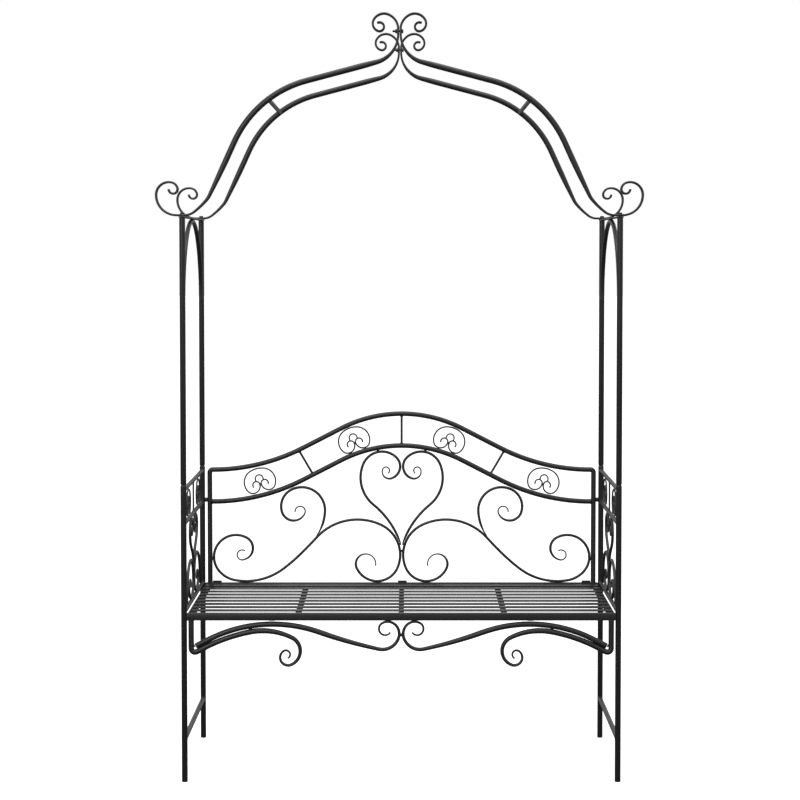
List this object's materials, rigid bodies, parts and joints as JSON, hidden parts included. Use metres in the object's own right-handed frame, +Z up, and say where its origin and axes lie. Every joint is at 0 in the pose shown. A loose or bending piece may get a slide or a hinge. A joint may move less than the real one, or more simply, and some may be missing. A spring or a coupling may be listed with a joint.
{
  "type": "garden arch bench",
  "caption": "Slatted metal garden bench with scrolled back and sides, set between tall posts under an arched roof of curled bows.",
  "frame": {"origin": "middle of the footprint of the four feet, on the ground", "axes": "+Z up; +X to the right as seen from the front; the sitter faces -Y, and the backrest stands at +Y"},
  "size_m": [1.3078, 0.5032, 2.071],
  "materials": {
    "black_coated_steel": "satin black powder coat",
    "black_coated_fastener": "satin black coated fastener",
    "black_plastic": "matt black moulded plastic"
  },
  "bodies": {
    "root": {"apex_bolt_front": "black_coated_fastener", "apex_bolt_rear": "black_coated_fastener", "apron_scroll_lower_left": "black_coated_steel", "apron_scroll_lower_right": "black_coated_steel", "apron_scroll_upper_left": "black_coated_steel", "apron_scroll_upper_right": "black_coated_steel", "arch_bow_left": "black_coated_steel", "arch_bow_right": "black_coated_steel", "arm_lower_rail_left": "black_coated_steel", "arm_lower_rail_right": "black_coated_steel", "arm_rosette_front_left": "black_coated_steel", "arm_rosette_front_right": "black_coated_steel", "arm_rosette_rear_left": "black_coated_steel", "arm_rosette_rear_right": "black_coated_steel", "arm_top_rail_left": "black_coated_steel", "arm_top_rail_right": "black_coated_steel", "back_bolt_left": "black_coated_fastener", "back_bolt_right": "black_coated_fastener", "back_heart_left": "black_coated_steel", "back_heart_right": "black_coated_steel", "back_hoop": "black_coated_steel", "back_lower_rail": "black_coated_steel", "back_rosette_inner_left": "black_coated_steel", "back_rosette_inner_right": "black_coated_steel", "back_rosette_outer_left": "black_coated_steel", "back_rosette_outer_right": "black_coated_steel", "branch_scroll_left": "black_coated_steel", "branch_scroll_right": "black_coated_steel", "foot_plug_front_left": "black_plastic", "foot_plug_front_right": "black_plastic", "foot_plug_rear_left": "black_plastic", "foot_plug_rear_right": "black_plastic", "leg_stretcher_left": "black_coated_steel", "leg_stretcher_right": "black_coated_steel", "long_scroll_left": "black_coated_steel", "long_scroll_right": "black_coated_steel", "lower_post_front_left": "black_coated_steel", "lower_post_front_right": "black_coated_steel", "lower_post_rear_left": "black_coated_steel", "lower_post_rear_right": "black_coated_steel", "post_bolt_front_left": "black_coated_fastener", "post_bolt_front_right": "black_coated_fastener", "post_bolt_rear_left": "black_coated_fastener", "post_bolt_rear_right": "black_coated_fastener", "roof_bow_front_left": "black_coated_steel", "roof_bow_front_right": "black_coated_steel", "roof_bow_rear_left": "black_coated_steel", "roof_bow_rear_right": "black_coated_steel", "roof_link_left": "black_coated_steel", "roof_link_right": "black_coated_steel", "seat_frame": "black_coated_steel", "seat_grille": "black_coated_steel", "seat_side_rail_left": "black_coated_steel", "seat_side_rail_right": "black_coated_steel", "side_scrollwork_left": "black_coated_steel", "side_scrollwork_right": "black_coated_steel", "upper_post_front_left": "black_coated_steel", "upper_post_front_right": "black_coated_steel", "upper_post_rear_left": "black_coated_steel", "upper_post_rear_right": "black_coated_steel"}
  },
  "joints": []
}
